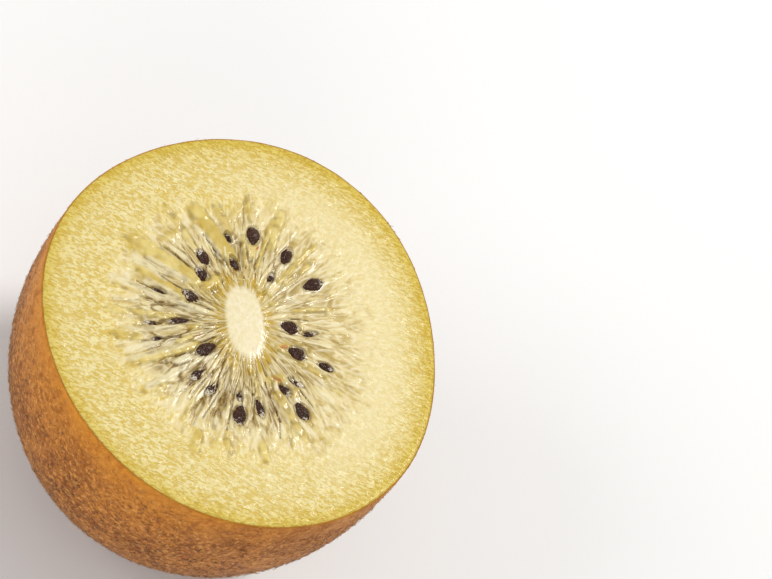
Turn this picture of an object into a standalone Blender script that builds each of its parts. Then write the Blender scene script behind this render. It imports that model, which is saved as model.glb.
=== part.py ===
"""Half of a golden kiwi fruit, cut across and standing on its rounded stem end, cut face up.

Metres, +Z up. The origin is the centre of the small flat spot that the half rests on.
The fruit grew as one piece, so it is one solid: skin, flesh, core and seeds together.
"""

import math

import bmesh
import bpy
from mathutils import Matrix, Vector

MM = 0.001

# The outside.
FACE_RADIUS = 27.0 * MM        # mean radius of the cut face
FULL_DEPTH = 34.7 * MM         # from the cut face to where the rounded end would close
WIDEST_BELOW_CUT = 2.7 * MM    # the widest section lies this far under the cut face
END_FULLNESS = 2.38            # 2 is an ellipsoid's end, and more is blunter
REST_SPOT_RADIUS = 8.5 * MM    # flat spot under the rounded end

# How the outline departs from a circle: the number of lobes round the fruit, their height
# as a share of the radius, and the bearing of one lobe in degrees from +X.
OUTLINE_LOBES = ((2, 0.035, 105.0), (3, 0.0165, 95.0), (4, 0.008, 4.0))

# The cut face: an oval core, and seed chambers that radiate from it.
CORE_CENTRE = Vector((-0.5 * MM, 0.5 * MM))
CORE_HALF_LENGTH = 5.6 * MM
CORE_HALF_WIDTH = 3.15 * MM
CORE_BEARING = 130.0
CHAMBER_REACH = 0.66           # share of the outline's radius that the chambers reach
CHAMBER_DEPTH = 0.8 * MM       # how far their floors lie under the cut
# Where each chamber's floor bends, as a share of its length, with its share of the depth.
CHAMBER_PROFILE = ((1.0, 0.0), (0.9, 0.7), (0.5, 1.0), (0.12, 0.6), (0.0, 0.0))

# Seeds that stand clear in the chambers: bearing in degrees from +X, distance from the
# fruit's axis, length and width in mm, and the turn off the radius in degrees.
SEEDS = (
    (16, 7.3, 2.6, 2.0, 3),
    (17, 11.2, 2.3, 1.2, 0),
    (46, 6.1, 2.6, 2.0, -15),
    (76, 12.2, 3.2, 1.9, -11),
    (99, 12.9, 3.0, 1.6, 4),
    (101, 8.7, 1.8, 1.0, 6),
    (120, 13.6, 3.0, 2.0, 2),
    (134, 9.0, 2.2, 1.2, 28),
    (135, 12.7, 1.6, 0.9, 14),
    (157, 10.4, 2.7, 1.7, 7),
    (167, 8.6, 2.4, 1.9, 4),
    (193, 7.7, 3.0, 1.5, 9),
    (221, 9.0, 3.2, 0.9, 11),
    (253, 6.9, 3.2, 1.7, -3),
    (266, 10.3, 2.7, 1.3, -9),
    (280, 10.7, 2.9, 1.2, -12),
    (300, 10.0, 1.5, 0.9, 15),
    (301, 12.7, 2.9, 1.8, -4),
    (314, 11.3, 2.8, 1.1, 6),
    (338, 9.4, 2.1, 1.3, 22),
    (340, 12.9, 2.8, 1.9, -2),
)
SEED_HALF_THICKNESS = 0.7 * MM
SEED_BELOW_CUT = 0.1 * MM      # from the cut down to the top of a seed
SEED_TAPER = 0.25              # how much narrower the end nearer the core is

# Fineness of the mesh.
ROUND_STEPS = 72               # even: ridges and chambers alternate round the core
SIDE_RINGS = 16
SHARP_ANGLE = math.radians(35)

SKIN, FLESH, CORE, SEED = range(4)


def outline_radius(bearing):
    """Radius of the cut face at a bearing in radians."""
    share = 1.0
    for lobes, height, lobe_bearing in OUTLINE_LOBES:
        share += height * math.cos(lobes * (bearing - math.radians(lobe_bearing)))
    return FACE_RADIUS * share


def power_round(value, power):
    """A signed power, so that the curve is even about the widest section."""
    return math.copysign(abs(value) ** power, value)


def side_curve():
    """Depth under the cut and share of the outline for each ring, from the rim to the rest spot."""
    reach = FULL_DEPTH - WIDEST_BELOW_CUT
    power = 2.0 / END_FULLNESS
    rim_turn = -math.asin((WIDEST_BELOW_CUT / reach) ** (1.0 / power))
    rim_share = math.cos(rim_turn) ** power
    rest_turn = math.acos((REST_SPOT_RADIUS / FACE_RADIUS * rim_share) ** (1.0 / power))
    curve = []
    for ring in range(SIDE_RINGS + 1):
        turn = rim_turn + (rest_turn - rim_turn) * ring / SIDE_RINGS
        depth = WIDEST_BELOW_CUT + reach * power_round(math.sin(turn), power)
        curve.append((depth, math.cos(turn) ** power / rim_share))
    return curve


SIDE_CURVE = side_curve()
CUT_HEIGHT = SIDE_CURVE[-1][0]     # height of the cut face above the rest spot


def outline_point(bearing):
    return Vector((math.cos(bearing), math.sin(bearing))) * outline_radius(bearing)


def core_point(bearing):
    """Point on the core's oval edge, in the direction of the bearing from its centre."""
    turn = bearing - math.radians(CORE_BEARING)
    along = math.cos(turn) / CORE_HALF_LENGTH
    across = math.sin(turn) / CORE_HALF_WIDTH
    reach = 1.0 / math.hypot(along, across)
    return CORE_CENTRE + Vector((math.cos(bearing), math.sin(bearing))) * reach


def add_ring(bm, points, heights):
    return [bm.verts.new((p.x, p.y, z)) for p, z in zip(points, heights)]


def join_rings(bm, outer, inner, material):
    """Quads between two rings. Seen from outside, the outer ring runs anticlockwise."""
    steps = len(outer)
    for i in range(steps):
        k = (i + 1) % steps
        face = bm.faces.new((outer[i], outer[k], inner[k], inner[i]))
        face.material_index = material


def build_fruit_mesh():
    """The half fruit without its seeds: skin side, rest spot, cut face, chambers and core."""
    bm = bmesh.new()
    bearings = [2.0 * math.pi * i / ROUND_STEPS for i in range(ROUND_STEPS)]
    rim = [outline_point(b) for b in bearings]
    core = [core_point(b) for b in bearings]
    flat = [CUT_HEIGHT] * ROUND_STEPS

    side = []
    for depth, share in SIDE_CURVE:
        height = [CUT_HEIGHT - depth] * ROUND_STEPS
        side.append(add_ring(bm, [p * share for p in rim], height))
    for upper, lower in zip(side, side[1:]):
        join_rings(bm, lower, upper, SKIN)
    rest_spot = bm.faces.new(reversed(side[-1]))
    rest_spot.material_index = SKIN

    rings = [side[0]]
    for along, drop in CHAMBER_PROFILE:
        points = [c.lerp(p * CHAMBER_REACH, along) for c, p in zip(core, rim)]
        heights = [z - CHAMBER_DEPTH * drop * (i % 2) for i, z in enumerate(flat)]
        rings.append(add_ring(bm, points, heights))
    for outer, inner in zip(rings, rings[1:]):
        join_rings(bm, outer, inner, FLESH)
    core_face = bm.faces.new(rings[-1])
    core_face.material_index = CORE

    bmesh.ops.recalc_face_normals(bm, faces=bm.faces)
    mesh = bpy.data.meshes.new("kiwi_half")
    bm.to_mesh(mesh)
    bm.free()
    return mesh


def build_seed_mesh(name, length, width):
    """A flattened drop with its narrower end at -X."""
    bm = bmesh.new()
    bmesh.ops.create_icosphere(bm, subdivisions=2, radius=1.0)
    for vert in bm.verts:
        narrowing = 1.0 - SEED_TAPER * max(0.0, -vert.co.x)
        vert.co.y *= narrowing
        vert.co.z *= narrowing
    size = Matrix.Diagonal((length / 2.0, width / 2.0, SEED_HALF_THICKNESS, 1.0))
    bm.transform(size)
    mesh = bpy.data.meshes.new(name)
    bm.to_mesh(mesh)
    bm.free()
    return mesh


def make_material(name, colour, roughness):
    material = bpy.data.materials.new(name)
    material.use_nodes = True
    shader = material.node_tree.nodes["Principled BSDF"]
    shader.inputs["Base Color"].default_value = (*colour, 1.0)
    shader.inputs["Roughness"].default_value = roughness
    shader.inputs["Metallic"].default_value = 0.0
    return material


def add_seeds(scene, material):
    """One solid for each seed, in a collection that is joined to the fruit by a union."""
    collection = bpy.data.collections.new("seeds")
    scene.collection.children.link(collection)
    for number, (bearing, distance, length, width, turn) in enumerate(SEEDS, start=1):
        name = f"seed_{number:02d}"
        seed = bpy.data.objects.new(name, build_seed_mesh(name, length * MM, width * MM))
        direction = math.radians(bearing)
        seed.location = (
            distance * MM * math.cos(direction),
            distance * MM * math.sin(direction),
            CUT_HEIGHT - SEED_BELOW_CUT - SEED_HALF_THICKNESS,
        )
        seed.rotation_euler.z = math.radians(bearing + turn)
        seed.data.materials.append(material)
        seed.hide_render = True
        seed.display_type = "WIRE"
        collection.objects.link(seed)
    return collection


def main():
    for leftover in list(bpy.data.objects):
        bpy.data.objects.remove(leftover, do_unlink=True)
    scene = bpy.context.scene

    materials = {
        SKIN: make_material("kiwi_skin", (0.27, 0.11, 0.035), 0.62),
        FLESH: make_material("kiwi_flesh", (0.72, 0.56, 0.12), 0.30),
        CORE: make_material("kiwi_core", (0.88, 0.80, 0.52), 0.38),
        SEED: make_material("kiwi_seed", (0.03, 0.012, 0.006), 0.22),
    }
    fruit = bpy.data.objects.new("kiwi_half", build_fruit_mesh())
    for slot in (SKIN, FLESH, CORE):
        fruit.data.materials.append(materials[slot])
    scene.collection.objects.link(fruit)

    union = fruit.modifiers.new("set_in_seeds", "BOOLEAN")
    union.operation = "UNION"
    union.solver = "EXACT"
    union.operand_type = "COLLECTION"
    union.collection = add_seeds(scene, materials[SEED])
    union.material_mode = "TRANSFER"

    fruit.data.shade_smooth()
    fruit.data.set_sharp_from_angle(angle=SHARP_ANGLE)


main()
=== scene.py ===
"""Looks of half a golden kiwi: wet yellow flesh with seed chambers, a pale core, glossy seeds,
and a thin brown skin with fine down. The fruit's lengths are in millimetres until a mesh is
written. The floor and lights are in metres."""

import math
from collections import namedtuple

import bpy
import numpy as np
from mathutils import Matrix, Vector


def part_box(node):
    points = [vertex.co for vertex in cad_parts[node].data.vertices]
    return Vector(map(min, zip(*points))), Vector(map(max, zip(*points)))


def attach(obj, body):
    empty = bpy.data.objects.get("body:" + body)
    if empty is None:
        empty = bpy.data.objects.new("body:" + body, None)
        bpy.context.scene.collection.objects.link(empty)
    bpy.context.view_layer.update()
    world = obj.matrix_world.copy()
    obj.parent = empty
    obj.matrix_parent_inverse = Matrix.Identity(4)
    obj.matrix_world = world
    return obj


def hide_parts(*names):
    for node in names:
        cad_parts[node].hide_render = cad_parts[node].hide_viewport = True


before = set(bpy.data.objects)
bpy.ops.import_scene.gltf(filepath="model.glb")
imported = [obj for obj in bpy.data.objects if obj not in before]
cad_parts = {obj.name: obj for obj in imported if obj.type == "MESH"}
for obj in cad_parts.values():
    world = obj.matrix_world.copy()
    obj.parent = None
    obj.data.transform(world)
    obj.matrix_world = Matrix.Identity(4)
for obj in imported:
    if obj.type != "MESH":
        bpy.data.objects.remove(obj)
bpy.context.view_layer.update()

MM = 0.001
FULL_TURN = 2.0 * math.pi

# ---------------------------------------------------------------- the fruit's dimensions

CUT_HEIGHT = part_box("kiwi_half")[1].z / MM      # height of the cut face
FACE_RADIUS = 27.0
FULL_DEPTH = 34.7
WIDEST_BELOW_CUT = 2.7
END_FULLNESS = 2.38
REST_SPOT_RADIUS = 8.5
OUTLINE_LOBES = ((2, 0.035, 105.0), (3, 0.0165, 95.0), (4, 0.008, 4.0))
CORE_CENTRE = (-0.5, 0.5)
CORE_HALF_LENGTH = 5.6
CORE_HALF_WIDTH = 3.15
CORE_BEARING = 130.0
SKIN_THICKNESS = 0.13

# Seeds: bearing in degrees, distance from the axis, length, width, turn off the radius in
# degrees, how far the top stands above the cut, and how much flesh fibre lies over it (0 to 1).
Seed = namedtuple("Seed", "bearing distance length width turn stand veil")
SEEDS = tuple(Seed(*row) for row in (
    (16, 7.3, 2.6, 2.0, 3, 0.30, 0.0),
    (17, 11.2, 2.3, 1.2, 0, 0.10, 0.1),
    (41, 8.7, 2.2, 0.9, 12, -0.20, 0.5),
    (46, 6.1, 2.6, 2.0, -15, 0.30, 0.0),
    (76, 12.2, 3.2, 1.9, -11, 0.35, 0.0),
    (99, 12.9, 3.0, 1.6, 4, 0.25, 0.1),
    (101, 8.7, 1.8, 1.0, 6, -0.10, 0.7),
    (120, 13.6, 3.0, 2.0, 2, 0.35, 0.0),
    (134, 9.0, 2.3, 1.2, 28, 0.05, 0.3),
    (135, 12.7, 1.7, 1.0, 14, 0.00, 0.3),
    (157, 10.4, 2.7, 1.7, 7, 0.15, 0.2),
    (167, 8.6, 2.4, 1.9, 4, 0.15, 0.3),
    (193, 7.7, 3.0, 1.6, 9, 0.15, 0.3),
    (201, 11.8, 1.8, 0.5, -3, -0.15, 0.3),
    (221, 9.0, 3.2, 1.0, 11, 0.00, 0.4),
    (224, 12.5, 2.0, 0.6, -6, -0.10, 0.5),
    (234, 12.4, 1.4, 0.6, 5, -0.10, 0.4),
    (253, 6.9, 3.2, 1.8, -3, 0.30, 0.0),
    (266, 10.3, 2.7, 1.4, -9, 0.00, 0.6),
    (280, 10.7, 2.9, 1.3, -12, 0.00, 0.7),
    (300, 10.0, 1.5, 0.9, 15, -0.15, 0.6),
    (301, 12.7, 2.9, 1.9, -4, 0.30, 0.0),
    (314, 11.3, 2.8, 1.2, 6, 0.10, 0.3),
    (338, 9.4, 2.1, 1.3, 22, 0.05, 0.4),
    (340, 12.9, 2.8, 1.9, -2, 0.30, 0.0),
    (351, 9.3, 2.4, 0.9, 21, -0.15, 0.8),
))

# Marks on the cut face that are drawn one by one. Each is a streak: bearing and distance of
# one end, then of the other end, half width and strength.
AMBER_STREAKS = (
    (64, 7.4, 58, 12.3, 0.35, 0.55), (88, 9.5, 86, 14.5, 0.40, 0.6),
    (94, 8.9, 90.5, 16.5, 0.40, 0.8), (109, 13.0, 109, 18.0, 0.65, 0.75),
    (114, 9.5, 112, 16.5, 0.32, 0.9), (120, 11.2, 120, 12.4, 0.70, 0.8),
    (125, 9.0, 126, 13.2, 0.25, 0.9), (122, 15.8, 124, 19.2, 0.35, 0.7),
    (135, 13.6, 138, 17.0, 0.60, 0.6), (138, 10.2, 147, 16.3, 1.05, 0.95),
    (158, 12.4, 160, 18.2, 0.55, 0.6), (158, 7.0, 172, 7.0, 0.75, 0.85),
    (177, 9.3, 183, 17.0, 1.25, 0.9), (180, 5.8, 180, 7.0, 0.45, 0.5),
    (198, 9.2, 195, 14.5, 0.85, 0.8), (207, 14.0, 207, 17.5, 0.30, 0.5),
    (218, 9.6, 219, 18.0, 0.45, 0.7), (226, 6.5, 227, 9.0, 0.35, 0.6),
    (232, 15.0, 230, 17.8, 0.60, 0.8), (237, 8.0, 239, 9.6, 0.35, 0.7),
    (246, 7.8, 243.5, 17.0, 0.65, 0.85), (259, 15.4, 257, 17.6, 0.45, 0.7),
    (253, 4.6, 254, 6.0, 0.65, 0.6), (274.5, 13.8, 275, 17.0, 0.30, 0.6),
    (284, 18.0, 284.5, 19.6, 0.75, 0.9), (296, 17.0, 298, 18.0, 0.45, 0.7),
    (312, 16.7, 312.5, 18.0, 0.65, 0.9), (315, 7.4, 314, 9.9, 0.30, 0.7),
    (327, 14.0, 326, 16.6, 0.25, 0.5), (330, 10.0, 333, 16.0, 0.60, 0.7),
    (331, 7.6, 340, 7.8, 0.60, 0.8), (340, 14.4, 341.5, 18.0, 0.30, 0.6),
    (343, 10.4, 345, 10.3, 0.50, 0.6), (7, 5.0, 9, 12.0, 0.40, 0.7),
    (10, 4.9, 18, 5.6, 0.45, 0.9), (24, 8.7, 28, 6.8, 0.35, 0.7),
    (45, 7.7, 52, 7.6, 0.30, 0.5), (37, 12.0, 37, 14.5, 0.12, 0.5),
    (42, 10.5, 42.5, 13.4, 0.16, 0.6), (56, 11.8, 54, 12.2, 0.35, 0.4),
    (5, 13.2, 6, 14.5, 0.18, 0.6), (19.5, 14.2, 20, 15.6, 0.14, 0.6),
    (13, 13.0, 12.5, 16.5, 0.16, 0.5), (74, 15.0, 74, 16.8, 0.30, 0.4),
    (100, 6.0, 112, 5.9, 0.35, 0.7), (92, 6.2, 98, 6.2, 0.30, 0.7),
    (78, 6.4, 84, 5.2, 0.30, 0.6), (128, 6.8, 131, 6.8, 0.25, 0.5),
)
# Wide smooth fingers of gel, where lines, grey gel and fibres are left out.
GEL_FINGERS = (
    (139, 10.6, 147.5, 16.2, 1.15, 0.9), (179, 9.4, 183, 16.8, 1.35, 0.9),
    (197.5, 9.4, 195, 14.2, 0.85, 0.9), (160, 7.0, 171, 7.0, 0.80, 0.9),
    (246.5, 8.2, 244, 15.0, 0.60, 0.8), (109, 13.2, 109, 17.8, 0.70, 0.8),
    (64, 7.6, 58.5, 11.8, 0.40, 0.7), (134.5, 13.8, 137, 16.8, 0.60, 0.7),
)
DARK_LINES = (
    (5, 5.0, 8.5, 8.4, 0.20, 0.75), (12, 10.0, 12, 12.3, 0.08, 0.5),
    (36, 8.0, 36.5, 9.8, 0.11, 0.4), (58, 6.4, 53, 8.8, 0.13, 0.85),
    (88, 9.6, 86, 11.6, 0.10, 0.6), (95, 8.5, 93, 12.0, 0.14, 0.5),
    (113.8, 9.4, 111.5, 12.2, 0.10, 0.95), (124.5, 8.6, 126, 13.2, 0.13, 1.0),
    (129.5, 12.2, 138, 11.0, 0.08, 0.6), (126, 14.0, 125, 18.6, 0.11, 0.5),
    (140, 8.6, 150, 13.3, 0.09, 0.95), (143, 8.6, 147, 10.6, 0.09, 0.75),
    (137, 6.2, 143, 7.6, 0.08, 0.6), (160.5, 9.6, 162, 13.2, 0.10, 0.75),
    (166, 10.4, 167.5, 12.2, 0.08, 0.6), (170, 9.8, 173, 13.6, 0.08, 0.6),
    (184, 8.4, 187.5, 15.2, 0.10, 0.5), (200.8, 9.8, 201.5, 14.8, 0.10, 0.95),
    (209, 8.0, 209, 14.0, 0.11, 0.45), (211, 14.0, 213, 15.6, 0.10, 0.5),
    (224, 11.4, 225.5, 14.2, 0.09, 0.8), (234, 9.0, 234.5, 14.6, 0.11, 0.75),
    (250, 9.1, 246.5, 12.7, 0.15, 0.85), (248, 12.6, 254.5, 11.7, 0.13, 0.8),
    (254.5, 11.7, 256.5, 9.4, 0.13, 0.75), (261, 16.0, 267, 14.8, 0.09, 0.4),
    (266, 14.0, 267.5, 13.0, 0.08, 0.6), (274, 7.8, 271.5, 13.0, 0.11, 0.6),
    (277, 6.4, 273.5, 9.4, 0.10, 0.55), (277.5, 12.6, 276, 15.2, 0.09, 0.7),
    (286, 9.8, 282.5, 15.2, 0.11, 0.8), (282, 9.0, 284.5, 7.2, 0.09, 0.55),
    (290.5, 8.2, 287, 11.6, 0.09, 0.55), (293, 8.8, 291, 12.2, 0.08, 0.45),
    (296.5, 8.6, 295, 15.2, 0.11, 0.8), (299.5, 6.4, 297, 8.6, 0.08, 0.6),
    (303, 7.8, 300, 10.0, 0.09, 0.55), (311, 7.0, 309, 12.6, 0.08, 0.65),
    (316, 6.8, 313.5, 10.0, 0.10, 0.6), (324, 7.9, 324.5, 13.2, 0.18, 0.95),
    (324.5, 13.0, 321.5, 15.4, 0.09, 0.8), (336, 8.6, 336.5, 11.2, 0.08, 0.9),
    (336.5, 11.0, 334.5, 15.6, 0.07, 0.6), (349.5, 8.4, 348, 12.9, 0.10, 0.95),
    (358.5, 8.4, 359.5, 11.2, 0.09, 0.5), (352, 9.4, 353, 10.6, 0.12, 0.6),
)
GREY_PATCHES = (
    (40, 8.2, 40, 9.8, 0.55, 0.7), (76, 8.0, 74, 9.2, 0.80, 0.5),
    (87, 8.6, 86, 12.0, 0.60, 0.45), (99, 9.8, 99, 11.4, 0.80, 0.6),
    (118, 9.0, 119, 10.8, 0.90, 0.6), (133, 7.6, 130, 11.8, 0.70, 0.5),
    (226, 8.2, 227, 9.6, 0.45, 0.8), (237, 10.0, 236, 13.6, 0.90, 0.95),
    (251, 13.2, 251, 14.6, 0.60, 0.7), (268, 7.0, 265, 14.0, 0.50, 0.5),
    (278, 8.0, 279, 16.0, 0.55, 0.6), (290, 12.0, 288, 16.0, 0.60, 0.6),
    (306, 9.0, 306, 14.0, 0.50, 0.5), (321, 9.0, 320, 14.0, 0.55, 0.5),
    (353, 6.6, 352, 9.0, 0.80, 0.7), (208, 8.0, 207, 12.0, 0.60, 0.5),
    (215, 7.0, 215, 9.4, 0.80, 0.6), (32, 8.0, 30, 10.0, 0.60, 0.4),
)
ORANGE_FLECKS = (
    (12, 5.2, 16, 5.5, 0.22, 0.9), (334, 7.6, 338, 8.0, 0.18, 0.9),
    (116.5, 12.2, 117, 11.8, 0.12, 0.8), (133, 8.1, 134.5, 8.2, 0.14, 0.7),
    (122, 11.5, 121, 11.3, 0.10, 0.6), (236, 6.6, 237, 6.8, 0.14, 0.5),
)
# Pale streaks of tissue. The three along the sides of the gel fingers, at bearings 184, 145 and
# 200.5, and the two tiny dots at 301 and 343 against seeds' edges are painted highlights.
PALE_STREAKS_AND_HIGHLIGHTS = (
    (252, 9.9, 252, 11.1, 0.55, 1.0), (205, 6.0, 204, 18.0, 0.50, 0.7),
    (258, 8.0, 256, 17.0, 0.45, 0.7), (228, 9.0, 228, 16.0, 0.40, 0.5),
    (243, 9.0, 242, 17.0, 0.40, 0.5), (192, 12.0, 190, 16.0, 0.60, 0.5),
    (301, 11.2, 301, 11.5, 0.20, 1.0), (343, 12.2, 343, 12.4, 0.15, 1.0),
    (23, 7.2, 26, 8.2, 0.15, 0.9), (99, 9.4, 98, 11.2, 0.20, 0.8),
    (140, 11.0, 142, 9.0, 0.12, 0.8), (184, 9.6, 187, 14.5, 0.50, 0.65),
    (145, 10.6, 152, 14.5, 0.38, 0.55), (200.5, 9.6, 198.5, 13.5, 0.35, 0.55),
)

# Sides of the cut face, as bearings in degrees from +X.
RIPE_BEARING = 75.0             # the rim is deepest yellow towards this side
DEEP_BEARING = 290.0            # the chambers look greyest and deepest towards this side
KNIFE_BEARING = 20.0            # the way the knife was drawn
QUIET_BEARING = 36.0            # the flesh is smoothest and palest towards this side

PALE_CORE_HALF = (5.0, 2.5)     # half length and half width of the core's pale middle
PALE_CORE_FULLNESS = 2.4        # 2 is an ellipse, and more is blunter
CHAMBERS = 38
CHAMBER_END = 0.63              # share of the outline's radius where most chambers end

# How far each kind of mark stands out of the cut face or sinks into it.
CRUMB_HEIGHT = 0.09
FIBRE_HEIGHT = 0.14
AMBER_HEIGHT = 0.30
FINGER_HEIGHT = 0.16
PALE_HEIGHT = 0.20
CORE_HEIGHT = 0.10
CORE_DOME = 0.12
CHAMBER_SINK = 0.06
GEL_SINK = 0.26
LINE_SINK = 0.24
TEETH_SINK = 0.08
RIM_SINK = 0.10
POCKET_DEPTH = 0.42             # floor of a seed's pocket below the seed's top
STRAND_HEIGHT = 0.52            # height of a fibre over that floor

# ---------------------------------------------------------------- numbers over the surface


def smooth(low, high, value):
    """0 at low, 1 at high, and an S-shaped slope between; low may be the larger."""
    t = np.clip((value - low) / (high - low), 0.0, 1.0)
    return t * t * (3.0 - 2.0 * t)


NOISE_CELLS = 256


def ripple(x, y, seed, around=None):
    """Gradient noise from about -1 to 1 with features one unit across. It repeats after
    a whole number of units in x if around gives that number."""
    angles = np.random.default_rng(seed).random((NOISE_CELLS, NOISE_CELLS)) * FULL_TURN
    across = around or NOISE_CELLS
    x0, y0 = np.floor(x).astype(int), np.floor(y).astype(int)
    fx, fy = x - x0, y - y0
    total = 0.0
    for dx in (0, 1):
        for dy in (0, 1):
            angle = angles[(x0 + dx) % across % NOISE_CELLS, (y0 + dy) % NOISE_CELLS]
            slope = np.cos(angle) * (fx - dx) + np.sin(angle) * (fy - dy)
            wx, wy = 1.0 - np.abs(fx - dx), 1.0 - np.abs(fy - dy)
            total = total + slope * wx * wx * (3 - 2 * wx) * wy * wy * (3 - 2 * wy)
    return total * 1.5


def rough(x, y, seed, layers):
    """Several layers of noise, each half as large and half as strong."""
    total, size = 0.0, 1.0
    for layer in range(layers):
        total = total + ripple(x * size, y * size, seed + layer) / size
        size *= 2.0
    return total


def polar(distance, angle):
    return distance * np.cos(angle), distance * np.sin(angle)


def along_across(x, y, bearing):
    """The parts of x and y along a bearing in degrees, and to the left of it."""
    turn = math.radians(bearing)
    along = x * math.cos(turn) + y * math.sin(turn)
    return along, y * math.cos(turn) - x * math.sin(turn)


def towards(bearing, side):
    """1 on the side with the given bearing in degrees, and 0 on the opposite side."""
    return 0.5 + 0.5 * np.cos(bearing - math.radians(side))


def outline_radius(bearing):
    share = 1.0
    for lobes, height, lobe_bearing in OUTLINE_LOBES:
        share = share + height * np.cos(lobes * (bearing - math.radians(lobe_bearing)))
    return FACE_RADIUS * share


def core_radius(bearing):
    turn = bearing - math.radians(CORE_BEARING)
    return 1.0 / np.hypot(np.cos(turn) / CORE_HALF_LENGTH, np.sin(turn) / CORE_HALF_WIDTH)


REACH = FULL_DEPTH - WIDEST_BELOW_CUT
SIDE_POWER = 2.0 / END_FULLNESS
RIM_TURN = -math.asin((WIDEST_BELOW_CUT / REACH) ** (1.0 / SIDE_POWER))
RIM_SHARE = math.cos(RIM_TURN) ** SIDE_POWER
REST_TURN = math.acos((REST_SPOT_RADIUS / FACE_RADIUS * RIM_SHARE) ** (1.0 / SIDE_POWER))


def side_curve(turns):
    """Depth under the cut and share of the outline, along the side from rim to rest spot."""
    sine = np.sin(turns)
    depth = WIDEST_BELOW_CUT + REACH * np.sign(sine) * np.abs(sine) ** SIDE_POWER
    return depth, np.cos(turns) ** SIDE_POWER / RIM_SHARE


def streak(x, y, mark, ragged):
    """How strongly a streak covers each point: its strength along the middle, 0 past its edge."""
    bearing_a, distance_a, bearing_b, distance_b, half_width, strength = mark
    ends = []
    for bearing, distance in ((bearing_a, distance_a), (bearing_b, distance_b)):
        angle = math.radians(bearing)
        ends.append((distance * math.cos(angle), distance * math.sin(angle)))
    (ax, ay), (bx, by) = ends
    dx, dy = bx - ax, by - ay
    length = math.hypot(dx, dy) + 1e-6
    along = ((x - ax) * dx + (y - ay) * dy) / length
    across = ((y - ay) * dx - (x - ax) * dy) / length
    past = np.maximum(0.0, np.maximum(-along, along - length))
    distance = np.hypot(across, past * 0.7) + ragged
    return strength * smooth(half_width * 1.35, half_width * 0.55, distance)


def cover(x, y, marks, ragged):
    """The strongest of the streaks at each point."""
    total = np.zeros_like(x)
    for mark in marks:
        total = np.maximum(total, streak(x, y, mark, ragged))
    return total


# ---------------------------------------------------------------- meshes from rings


def make_mesh(name, points, corners, sizes, attributes):
    """A smooth mesh from points, the corners of its faces in a row, and how many each face has.
    attributes are (name, values) with one colour for each point."""
    mesh = bpy.data.meshes.new(name)
    mesh.vertices.add(len(points))
    mesh.vertices.foreach_set("co", (points * MM).astype(np.float32).ravel())
    mesh.loops.add(corners.size)
    mesh.loops.foreach_set("vertex_index", corners.astype(np.int32).ravel())
    starts = np.concatenate([[0], np.cumsum(sizes)[:-1]])
    mesh.polygons.add(len(sizes))
    mesh.polygons.foreach_set("loop_start", starts.astype(np.int32))
    mesh.update(calc_edges=True)
    mesh.validate()
    for attribute_name, values in attributes:
        layer = mesh.attributes.new(attribute_name, "FLOAT_COLOR", "POINT")
        layer.data.foreach_set("color", values.astype(np.float32).ravel())
    mesh.shade_smooth()
    return mesh


def ring_mesh(name, rings, first_point, last_point, attributes):
    """A closed mesh from rings of points, with a fan of triangles to a point at each end."""
    count, steps = rings.shape[:2]
    points = np.concatenate([rings.reshape(-1, 3), [first_point, last_point]])
    turn = np.arange(steps)
    after_turn = (turn + 1) % steps
    begin = np.arange(count - 1)[:, None] * steps
    near, after = begin + turn, begin + after_turn
    quads = np.stack([near, after, after + steps, near + steps], -1).reshape(-1, 4)
    first, last = count * steps, count * steps + 1
    end = (count - 1) * steps
    fans = np.concatenate([
        np.stack([np.full(steps, first), after_turn, turn], -1),
        np.stack([np.full(steps, last), end + turn, end + after_turn], -1),
    ])
    corners = np.concatenate([quads.ravel(), fans.ravel()])
    sizes = np.concatenate([np.full(len(quads), 4), np.full(len(fans), 3)])
    return make_mesh(name, points, corners, sizes, attributes)


def add_object(name, mesh, material):
    mesh.materials.append(material)
    piece = bpy.data.objects.new(name, mesh)
    bpy.context.scene.collection.objects.link(piece)
    return piece


def finish_piece(piece):
    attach(piece, "root")
    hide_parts("kiwi_half")


# ---------------------------------------------------------------- material nodes


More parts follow.
